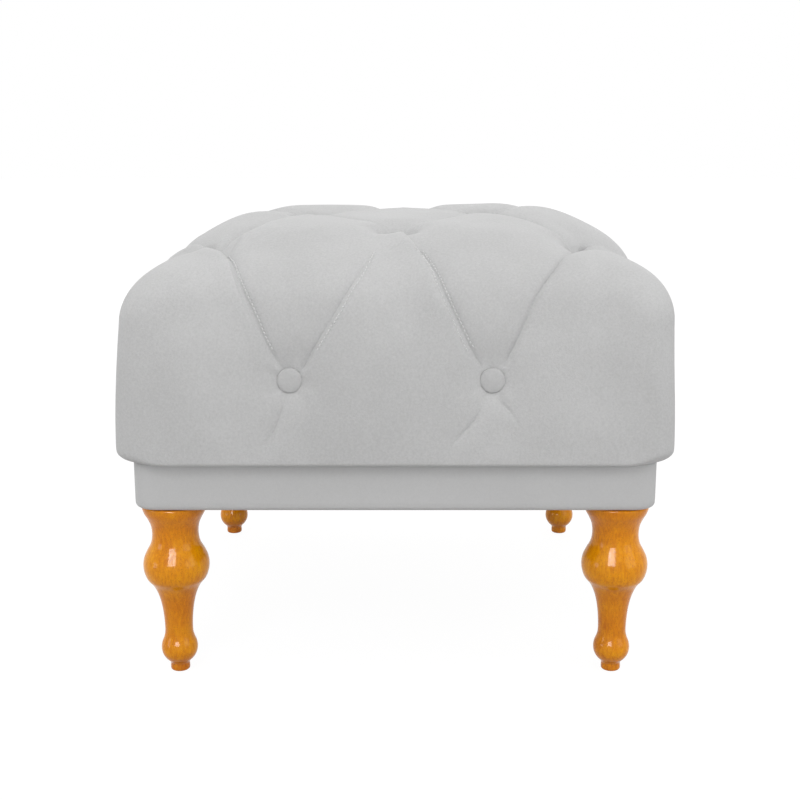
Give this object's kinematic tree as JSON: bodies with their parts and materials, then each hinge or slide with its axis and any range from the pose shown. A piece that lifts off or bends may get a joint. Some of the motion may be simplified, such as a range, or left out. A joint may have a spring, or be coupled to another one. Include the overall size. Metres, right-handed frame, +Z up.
{
  "type": "pouf",
  "caption": "Square tufted footstool with a crowned padded cushion, covered buttons, a narrow upholstered plinth and turned wooden legs.",
  "frame": {"origin": "on the floor under the middle of the pouf, in the plane of the four feet", "axes": "+Z up; the front face looks toward -Y and +X is to the right of it"},
  "size_m": [0.5, 0.5, 0.4156],
  "materials": {
    "cushion_fabric": "plain woven cloth, light grey",
    "plinth_fabric": "plain woven cloth, light grey",
    "button_fabric": "plain woven cloth, light grey",
    "foam": "soft upholstery foam",
    "twine": "waxed tufting twine",
    "washer": "matt",
    "plywood": "raw",
    "fibreboard": "raw",
    "softwood": "raw",
    "dust_cloth": "thin black non-woven cloth",
    "turned_wood": "honey brown stain under clear gloss lacquer",
    "nut_steel": "zinc plated",
    "steel": "zinc plated"
  },
  "bodies": {
    "root": {"back_foam": "foam", "base_board": "plywood", "block_screws": "steel", "button_back_left": "button_fabric", "button_back_right": "button_fabric", "button_front_left": "button_fabric", "button_front_right": "button_fabric", "button_side_left": "button_fabric", "button_side_right": "button_fabric", "button_top_back_left": "button_fabric", "button_top_back_middle": "button_fabric", "button_top_back_right": "button_fabric", "button_top_front_left": "button_fabric", "button_top_front_middle": "button_fabric", "button_top_front_right": "button_fabric", "button_top_middle_left": "button_fabric", "button_top_middle_right": "button_fabric", "corner_block_back_left": "softwood", "corner_block_back_right": "softwood", "corner_block_front_left": "softwood", "corner_block_front_right": "softwood", "cushion_cover": "cushion_fabric", "deck_board": "plywood", "dust_cover": "dust_cloth", "dust_cover_staples": "steel", "frame_screws": "steel", "front_foam": "foam", "hanger_bolts": "steel", "insert_nuts": "nut_steel", "left_foam": "foam", "leg_back_left": "turned_wood", "leg_back_right": "turned_wood", "leg_front_left": "turned_wood", "leg_front_right": "turned_wood", "panel_back": "fibreboard", "panel_front": "fibreboard", "panel_left": "fibreboard", "panel_right": "fibreboard", "plinth_cover": "plinth_fabric", "post_back_left": "softwood", "post_back_right": "softwood", "post_front_left": "softwood", "post_front_right": "softwood", "rail_back": "softwood", "rail_front": "softwood", "rail_left": "softwood", "rail_right": "softwood", "rail_screws": "steel", "right_foam": "foam", "top_foam": "foam", "tufting_twines": "twine", "twine_washers": "washer"}
  },
  "joints": []
}
